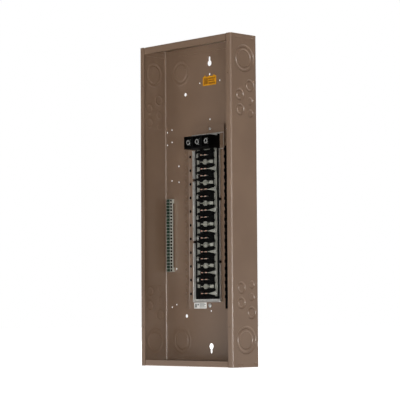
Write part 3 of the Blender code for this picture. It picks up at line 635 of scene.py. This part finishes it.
def keyhole(centre_u, side):
    """Outline of a hanging keyhole; its slot points away from the middle of the box."""
    shoulder = KEYHOLE_Z + (KEYHOLE_R ** 2 - KEYHOLE_SLOT_R ** 2) ** 0.5
    outline = []
    for k in range(KEYHOLE_STEPS // 3 + 1):
        angle = 3 * pi * k / KEYHOLE_STEPS
        outline.append((KEYHOLE_SLOT_R * cos(angle), KEYHOLE_SLOT_END + KEYHOLE_SLOT_R * sin(angle)))
    outline.append((-KEYHOLE_SLOT_R, shoulder))
    for k in range(1, KEYHOLE_STEPS):
        angle = pi / 2 + KEYHOLE_MOUTH + 2 * (pi - KEYHOLE_MOUTH) * k / KEYHOLE_STEPS
        outline.append((KEYHOLE_R * cos(angle), KEYHOLE_Z + KEYHOLE_R * sin(angle)))
    outline.append((KEYHOLE_SLOT_R, shoulder))
    return [(centre_u + x, side * z) for x, z in outline]


def dimple(u, v):
    return u, v, [(DIMPLE_R, 0.0), (DIMPLE_FLAT * DIMPLE_R, -DIMPLE_DEPTH)]


def make_box_wrap():
    low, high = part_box("box_wrap")
    lip = high.x - FLANGE_W
    path = BentPath([(lip, low.y), (high.x, low.y), (high.x, high.y), (low.x, high.y),
                     (low.x, low.y), (-lip, low.y)], BEND_R)
    outline = [(0.0, low.z), (path.length, low.z), (path.length, high.z), (0.0, high.z)]
    middle = path.length / 2
    holes = [keyhole(middle, side) for side in (-1, 1)]
    pressings = []
    for z, radius in CENTRE_HOLES:
        holes.append(circle(middle, z * MM, radius * MM, SMALL_HOLE_EDGES))
    for x, z, radius in SIDE_HOLES:
        for side in (-1, 1):
            holes.append(circle(middle - side * x * MM, z * MM, radius * MM, HOLE_EDGES))
    for side, flange, wall in ((1, 0, 1), (-1, 4, 3)):
        for end in (-1, 1):
            u = path.on_leg(flange, side * (high.x - TRIM_HOLE_IN), 0)
            holes.append(circle(u, end * TRIM_HOLE_Z, TRIM_HOLE_R, SMALL_HOLE_EDGES))
            pressings.append(step_rings(middle - side * KNOCKOUT_BACK_X, end * KNOCKOUT_Z,
                                        RINGS_LARGE))
            u = path.on_leg(wall, KNOCKOUT_SIDE_Y, 1)
            rise = KNOCKOUT_SIDE_RISE[side]
            depth = STEP_H if side > 0 else SHALLOW_STEP_H
            pressings.append(step_rings(u, end * KNOCKOUT_Z + rise, RINGS_LARGE, depth))
            for y, z, radii in SMALL_KNOCKOUTS:
                u = path.on_leg(wall, y * MM, 1)
                pressings.append(step_rings(u, end * z * MM + rise, radii, depth))
            for y in DIMPLE_YS:
                pressings.append(dimple(path.on_leg(wall, y * MM, 1), end * DIMPLE_Z))
    for x, z in EMBOSSED:
        pressings.append((middle - x * MM, z * MM,
                          [(EMBOSSED_R, 0.0), (EMBOSSED_R / 2, -EMBOSSED_H)]))
    mesh = pressed_sheet("box_wrap_sheet", path, outline, holes, pressings, SHEET, upright)
    return soften(add_piece("box_wrap_sheet", mesh, "paint", replaced=["box_wrap"]))


def make_end_sheet(node, end):
    """Top or bottom wall: a blank folded to a back tab, the wall and a front flange."""
    low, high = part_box(node)
    outer = high.z if end > 0 else -low.z
    flange = outer - (low.z if end > 0 else -high.z)
    path = BentPath([(high.y, outer - flange), (high.y, outer), (low.y, outer),
                     (low.y, outer - FLANGE_DEPTH[end])], END_BEND_R)
    half, lip, tab = high.x, high.x - FLANGE_W - END_LIP_GAP, END_TAB_SHARE * high.x
    fold = path.on_leg(1, END_FOLD_Y, 0)
    mouth = path.on_leg(1, END_MOUTH_Y, 0)
    outline = [(0.0, -tab), (fold, -tab), (fold, -half), (mouth, -half), (mouth, -lip),
               (path.length, -lip), (path.length, lip), (mouth, lip), (mouth, half), (fold, half),
               (fold, tab), (0.0, tab)]
    u = path.on_leg(1, KNOCKOUT_SIDE_Y, 0)
    pressings = [step_rings(u, side * KNOCKOUT_END_X, RINGS_LARGE) for side in (-1, 1)]
    mesh = pressed_sheet(f"{node}_sheet", path, outline, [], pressings, SHEET,
                         lambda point, v: (v, point.x, end * point.y))
    piece = soften(add_piece(f"{node}_sheet", mesh, "paint", replaced=[node]))
    for side in (-1, 1):
        add_side_tab(node, end, side, half, outer, flange)
    return piece


def add_side_tab(node, end, side, half, outer, reach):
    """Tab bent off an end wall and clinched to the wrap's side wall."""
    level = outer - SIDE_TAB_DROP
    path = BentPath([(half, outer - reach), (half, level), (half - SIDE_TAB_REACH, level)],
                    SIDE_TAB_BEND_R)
    outline = rectangle((0.0, path.length), SIDE_TAB_YS)
    pressings = [dimple(SIDE_TAB_DIMPLE_U, y * MM) for y in DIMPLE_YS]
    mesh = pressed_sheet(f"{node}_tab", path, outline, [], pressings, SHEET,
                         lambda point, v: (side * point.x, v, end * point.y))
    label = "right" if side > 0 else "left"
    soften(add_piece(f"{node}_tab_{label}", mesh, "paint"))


# ---- interior sheet metal -----------------------------------------------------------------------------
def hook_edge(at_edge, at_tip, root, tip):
    """Free edge of a breaker rail from the top down: a round-cornered hook between every two rows."""
    shoulder = at_tip + HOOK_SHOULDER * (at_edge - at_tip)
    half_widths = ((at_edge, root), (shoulder, tip + HOOK_CORNER * (root - tip)),
                   (at_tip, HOOK_FLAT * tip))
    points = []
    for row in range(ROWS + 1):
        z = row_z(row - 0.5)
        points += [(u, z + half) for u, half in half_widths]
        points += [(u, z - half) for u, half in half_widths[::-1]]
    return points


def make_pan():
    low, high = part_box("interior_pan")
    path = BentPath([(high.x, low.y), (high.x, high.y), (low.x, high.y), (low.x, low.y)],
                    PAN_BEND_R)
    top, shoulder, bottom = high.z, PAN_SHOULDER_Z, low.z
    neck = {side: path.on_leg(1, side * PAN_NECK_HALF_W + INTERIOR_X, 0) for side in (-1, 1)}
    slot = path.on_leg(1, INTERIOR_X, 0)
    edge = RAIL_Y - low.y
    shallow = SHALLOW_EDGE_SHARE * edge
    right = hook_edge(shallow, 0.0, HOOK_ROOT, HOOK_TIP)
    left = hook_edge(path.length - edge, path.length, HOOK_ROOT, HOOK_TIP)
    outline = [(shallow, shoulder)] + right + [(shallow, bottom), (path.length - edge, bottom)]
    outline += left[::-1] + [
        (path.length - edge, shoulder), (neck[-1], shoulder), (neck[-1], top),
        (slot + PAN_SLOT_HALF_W, top), (slot + PAN_SLOT_HALF_W, PAN_SLOT_Z),
        (slot - PAN_SLOT_HALF_W, PAN_SLOT_Z), (slot - PAN_SLOT_HALF_W, top), (neck[1], top),
        (neck[1], shoulder)]
    holes, shade_discs = [], []
    for row in range(0, ROWS, 2):
        for side in (-1, 1):
            x = side * PAN_HOLE_X + INTERIOR_X
            z = row_z(row)
            holes.append(circle(path.on_leg(1, x, 0), z, PAN_HOLE_R, PAN_HOLE_EDGES))
            # Painted shade: a black disc behind each hole in the pan, so that the holes read dark.
            shade_discs.append((circle(x, z, HOLE_SHADE_R, PAN_HOLE_EDGES), "Y", *HOLE_SHADE_Y))
    soften(add_piece("pan_hole_painted_shade", prisms("pan_hole_painted_shade", shade_discs), "black"), CRISP_EDGE_R)
    mesh = pressed_sheet("interior_pan_sheet", path, outline, holes, [], PAN_SHEET, upright)
    pan = add_piece("interior_pan_sheet", mesh, "paint", replaced=["interior_pan"])
    # Painted shade: the pan's right outer face gets the black finish, which stands for the deep shade in
    # the gutter beside the pan.
    pan.data.materials.append(FINISH["black"])
    for polygon in pan.data.polygons:
        if polygon.normal.x > 0.5 and polygon.center.x > high.x - PAN_SHEET / 2:
            polygon.material_index = 1
    soften(pan)
    # The right skirt is black as painted shade too. The left one keeps the tan enamel.
    for label, x, finish in (("left", low.x + PAN_SHEET, "paint"),
                             ("right", high.x - 2 * PAN_SHEET, "black")):
        strip = rectangle((x, x + PAN_SHEET), (high.y - SKIRT_LAP, SKIRT_BACK_Y))
        skirt = prisms(f"pan_skirt_{label}", [(strip, "Z", bottom + SKIRT_GAP, shoulder - SKIRT_GAP)])
        soften(add_piece(skirt.name, skirt, finish), SHEET_EDGE_R)


# ---- pieces that keep their CAD shape, with finished edges ---------------------------------------------
def rounded(node, finish, bevel, segments=2, angle=0.5):
    """A copy of a CAD node with its flat faces whole again and its edges rounded."""
    source = frame["nodes"][node]
    mesh = source.data.copy()
    mesh.materials.clear()
    mesh.name = f"{node}_finish"
    shell = bmesh.new()
    shell.from_mesh(mesh)
    bmesh.ops.remove_doubles(shell, verts=shell.verts, dist=MERGE_GAP)
    bmesh.ops.dissolve_limit(shell, angle_limit=FACET_ANGLE, verts=shell.verts, edges=shell.edges)
    shell.to_mesh(mesh)
    shell.free()
    piece = add_piece(mesh.name, mesh, finish, source["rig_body"], [node])
    return soften(piece, bevel, segments, angle)


def make_plain_pieces():
    for node in sorted(frame["nodes"]):
        if node.startswith("stab_"):
            finish_stab(node)
        elif node in ("bus_bar_a", "bus_bar_c"):
            make_outer_bar(node)
        elif node.startswith("pan_standoff"):
            rounded(node, "zinc", SHEET_EDGE_R)
        elif node.startswith("main_lug") or node == "neutral_lug":
            rounded(node, "aluminium", LUG_EDGE_R)
        elif node.startswith("lug_screw") or node == "neutral_lug_screw":
            finish_set_screw(node)
        elif "screw_" in node:
            rounded(node, "green" if node.startswith("ground") else "screw", SCREW_EDGE_R)
    rounded("bus_bar_b", "tinned", LUG_EDGE_R)
    finish_tray()
    for node, edge in MOULDING_EDGES:
        rounded(node, "black", edge * MM)
    finish_terminal_bar("neutral_bar")
    finish_terminal_bar("ground_bar")
    rounded("caution_tag", "yellow", TAG_EDGE_R)
    rounded("rating_plate", "white", LABEL_EDGE_R)


def finish_tray():
    """The plated tray, with enamel on its head where it shows on both sides of the lug block."""
    rounded("bus_tray", "zinc", SHEET_EDGE_R)
    block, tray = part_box("lug_block"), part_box("bus_tray")
    height = (block[0].z - ENAMEL_DROP, tray[1].z - ENAMEL_TOP_GAP)
    spans = ((tray[0].x + ENAMEL_GAP, block[0].x - ENAMEL_BLOCK_GAP),
             (block[1].x + ENAMEL_BLOCK_GAP, tray[1].x - ENAMEL_GAP))
    mesh = prisms("tray_head_enamel", [
        (rectangle(span, height), "Y", TRAY_FACE_Y - PRINT_H, TRAY_FACE_Y) for span in spans])
    soften(add_piece(mesh.name, mesh, "paint"))


def make_outer_bar(node):
    """An outer phase bar with its outer front edge broken."""
    low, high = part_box(node)
    side = 1 if low.x > 0 else -1
    inner, outer = (low.x, high.x) if side > 0 else (high.x, low.x)
    outer -= side * BAR_TRIM
    outline = [(inner, high.y), (inner, low.y), (outer - side * BAR_CHAMFER, low.y),
               (outer, low.y + BAR_CHAMFER), (outer, high.y)]
    mesh = prisms(f"{node}_finish", [(outline, "Z", low.z, high.z)])
    soften(add_piece(mesh.name, mesh, "bar", replaced=[node]), FINE_EDGE_R)


def finish_stab(node):
    """A plated stab with bare copper at the tip, a moulded cover on its left arm, a dull right arm."""
    stab = rounded(node, "tinned", FINE_EDGE_R, 1)
    for finish in ("copper", "black", "bar"):
        stab.data.materials.append(FINISH[finish])
    tip = min(vert.co.y for vert in stab.data.vertices) + TIP_DEPTH
    for polygon in stab.data.polygons:
        x = (polygon.center.x - INTERIOR_X) / MM
        at_tip = polygon.normal.y < -0.9 and polygon.center.y < tip
        if at_tip and not node.startswith("stab_b"):
            polygon.material_index = 1
        elif ARM_SPAN[0] < x < ARM_SPAN[1]:
            polygon.material_index = 2
        elif -ARM_SPAN[1] < x < -ARM_SPAN[0]:
            polygon.material_index = 3


def finish_set_screw(node):
    """A lug's set screw, with painted shade down in its hexagon socket: those faces get the black finish.
    """
    screw = rounded(node, "screw", SCREW_EDGE_R)
    screw.data.materials.append(FINISH["black"])
    low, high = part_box(node)
    middle = (low + high) / 2
    for polygon in screw.data.polygons:
        centre = polygon.center
        off_axis = hypot(centre.x - middle.x, centre.z - middle.z)
        # Painted shade: the faces down in the socket take the black finish.
        if off_axis < SOCKET_SHADE_R and low.y + SOCKET_SHADE_TOP < centre.y < middle.y:
            polygon.material_index = 1


def finish_terminal_bar(node):
    """A drilled bar with painted shade: the faces inside its wire holes get the black finish."""
    bar = rounded(node, "aluminium", BAR_EDGE_R)
    bar.data.materials.append(FINISH["black"])
    low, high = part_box(node)
    for polygon in bar.data.polygons:
        centre = polygon.center
        in_depth = low.y + MM < centre.y < high.y - MM
        in_length = low.z + MM < centre.z < high.z - MM
        # Painted shade inside the wire holes.
        if in_depth and in_length and abs(polygon.normal.x) < 0.5:
            polygon.material_index = 1


# ---- fasteners and labels -----------------------------------------------------------------------------
def make_rivets():
    centres = [(INTERIOR_X + RIVET_X["abc"[row % 3]] * MM, row_z(row)) for row in range(ROWS)
               if "abc"[row % 3] in RIVET_X]
    slotted_heads("stab_rivets", centres, STAB_SEAT_Y, RIVET_R, RIVET_H, "screw")


def make_terminal_screws(bar, count, finish):
    """Wire-binding screws along the front of a terminal bar, with one more pressure plate each end."""
    low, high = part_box(bar)
    x, z = (low.x + high.x) / 2, (low.z + high.z) / 2
    levels = [z + (k - (count - 1) / 2) * TERMINAL_PITCH for k in range(count)]
    clamps = [(rectangle((low.x + CLAMP_INSET, high.x - CLAMP_INSET),
                         (level - CLAMP_HALF_H, level + CLAMP_HALF_H)),
               "Y", low.y - CLAMP_H, low.y)
              for level in [levels[0] - TERMINAL_PITCH, *levels, levels[-1] + TERMINAL_PITCH]]
    soften(add_piece(f"{bar}_clamps", prisms(f"{bar}_clamps", clamps), finish), CRISP_EDGE_R)
    slotted_heads(f"{bar}_screws", [(x, level) for level in levels], low.y - CLAMP_H,
                  TERMINAL_SCREW_R, TERMINAL_SCREW_H, finish)


def add_print(name, node, patches, finish):
    """Plain printed patches on a plate's front: left, bottom, right and top in mm from its corner."""
    low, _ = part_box(node)
    shapes = [(rectangle((low.x + left * MM, low.x + right * MM),
                         (low.z + bottom * MM, low.z + top * MM)), "Y", low.y - PRINT_H, low.y)
              for left, bottom, right, top in patches]
    soften(add_piece(name, prisms(name, shapes), finish))


def make_printing():
    add_print("tag_panel", "caution_tag", TAG_PRINT, "orange")
    left, right = PLATE_LINE_X
    lines = [(left, PLATE_LINE_Z[0] + PLATE_LINE_PITCH * k,
              right - PLATE_LINE_TRIM * (k % 2), PLATE_LINE_Z[1] + PLATE_LINE_PITCH * k)
             for k in range(PLATE_LINES)]
    add_print("plate_print", "rating_plate", [*PLATE_PRINT, *lines], "grey")


def make_wire_hole_shade(bar, count):
    """Painted shade: black discs over the mouths of a terminal bar's wire holes on both of its sides."""
    low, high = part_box(bar)
    z = (low.z + high.z) / 2
    mouth_shades = []
    for k in range(count):
        level = z + (k - (count - 1) / 2) * TERMINAL_PITCH
        outline = circle(low.y + WIRE_HOLE_IN, level, WIRE_HOLE_R, HOLE_EDGES)
        mouth_shades += [(outline, "X", low.x - MOUTH_H, low.x), (outline, "X", high.x, high.x + MOUTH_H)]
    soften(add_piece(f"{bar}_mouths", prisms(f"{bar}_mouths", mouth_shades), "black"))


# ---- stage ------------------------------------------------------------------------------------------
def add_camera():
    data = bpy.data.cameras.new("camera")
    data.lens = CAMERA_LENS
    data.sensor_width = SENSOR_W
    camera = bpy.data.objects.new("camera", data)
    bpy.context.scene.collection.objects.link(camera)
    a, p, r = CAMERA_AZIMUTH, CAMERA_PITCH, CAMERA_ROLL
    ahead = Vector((-sin(a) * cos(p), cos(a) * cos(p), sin(p)))
    right = Vector((cos(a), sin(a), 0.0))
    above = right.cross(ahead)
    x_axis = cos(r) * right + sin(r) * above
    y_axis = cos(r) * above - sin(r) * right
    turn = Matrix((x_axis, y_axis, -ahead)).transposed().to_4x4()
    camera.matrix_world = Matrix.Translation(CAMERA_AT) @ turn
    bpy.context.scene.camera = camera


def add_area_light(name, at, target, size, power):
    data = bpy.data.lights.new(name, "AREA")
    data.shape = "RECTANGLE"
    data.size, data.size_y = size
    data.energy = power
    light = bpy.data.objects.new(name, data)
    light.location = at
    light.rotation_euler = (Vector(target) - Vector(at)).to_track_quat("-Z", "Y").to_euler()
    bpy.context.scene.collection.objects.link(light)


def add_world():
    """White to the camera, and a dimmer soft surround for light and reflections."""
    world = bpy.data.worlds.new("studio")
    world.use_nodes = True
    nodes, links = world.node_tree.nodes, world.node_tree.links
    seen = nodes["Background"]
    seen.inputs["Color"].default_value = (1.0, 1.0, 1.0, 1.0)
    seen.inputs["Strength"].default_value = 1.0
    lit = nodes.new("ShaderNodeBackground")
    lit.inputs["Color"].default_value = SURROUND_COLOUR
    place = nodes.new("ShaderNodeTexCoord")
    towards = nodes.new("ShaderNodeVectorMath")
    towards.operation = "DOT_PRODUCT"
    towards.inputs[1].default_value = SURROUND_BRIGHT_SIDE
    strength = nodes.new("ShaderNodeMath")
    strength.operation = "MULTIPLY_ADD"
    strength.inputs[1].default_value = SURROUND_SWING
    strength.inputs[2].default_value = SURROUND
    links.new(place.outputs["Generated"], towards.inputs[0])
    links.new(towards.outputs["Value"], strength.inputs[0])
    links.new(strength.outputs["Value"], lit.inputs["Strength"])
    rays = nodes.new("ShaderNodeLightPath")
    mix = nodes.new("ShaderNodeMixShader")
    links.new(rays.outputs["Is Camera Ray"], mix.inputs["Fac"])
    links.new(lit.outputs["Background"], mix.inputs[1])
    links.new(seen.outputs["Background"], mix.inputs[2])
    links.new(mix.outputs["Shader"], nodes["World Output"].inputs["Surface"])
    bpy.context.scene.world = world


def add_floor():
    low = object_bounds()[0]
    span = (-FLOOR_REACH, FLOOR_REACH)
    corners = [(x, y, 0.0) for x, y in rectangle(span, span)]
    mesh = bpy.data.meshes.new("floor")
    mesh.from_pydata(corners, [], [(0, 1, 2, 3)])
    material, shader = principled("pale_floor", FLOOR_COLOUR, FLOOR_ROUGHNESS)
    shader.inputs["Emission Color"].default_value = (1.0, 1.0, 1.0, 1.0)
    shader.inputs["Emission Strength"].default_value = FLOOR_GLOW
    mesh.materials.append(material)
    floor = bpy.data.objects.new("floor", mesh)
    floor.location.z = low.z - FLOOR_GAP
    bpy.context.scene.collection.objects.link(floor)


def make_stage():
    add_camera()
    add_world()
    add_floor()
    add_area_light("key", KEY_AT, KEY_TARGET, KEY_SIZE, KEY_POWER)
    add_area_light("front", FRONT_AT, ORIGIN, FRONT_SIZE, FRONT_POWER)
    add_area_light("back", BACK_AT, ORIGIN, BACK_SIZE, BACK_POWER)
    bpy.context.scene.view_settings.view_transform = "Standard"


make_stage()
make_box_wrap()
make_end_sheet("top_end_wall", 1)
make_end_sheet("bottom_end_wall", -1)
make_pan()
make_plain_pieces()
make_rivets()
make_terminal_screws("ground_bar", GROUND_TERMINALS, "green")
# Painted shade at the mouths of the ground bar's wire holes.
make_wire_hole_shade("ground_bar", GROUND_TERMINALS + 2)
make_terminal_screws("neutral_bar", NEUTRAL_TERMINALS, "screw")
make_printing()
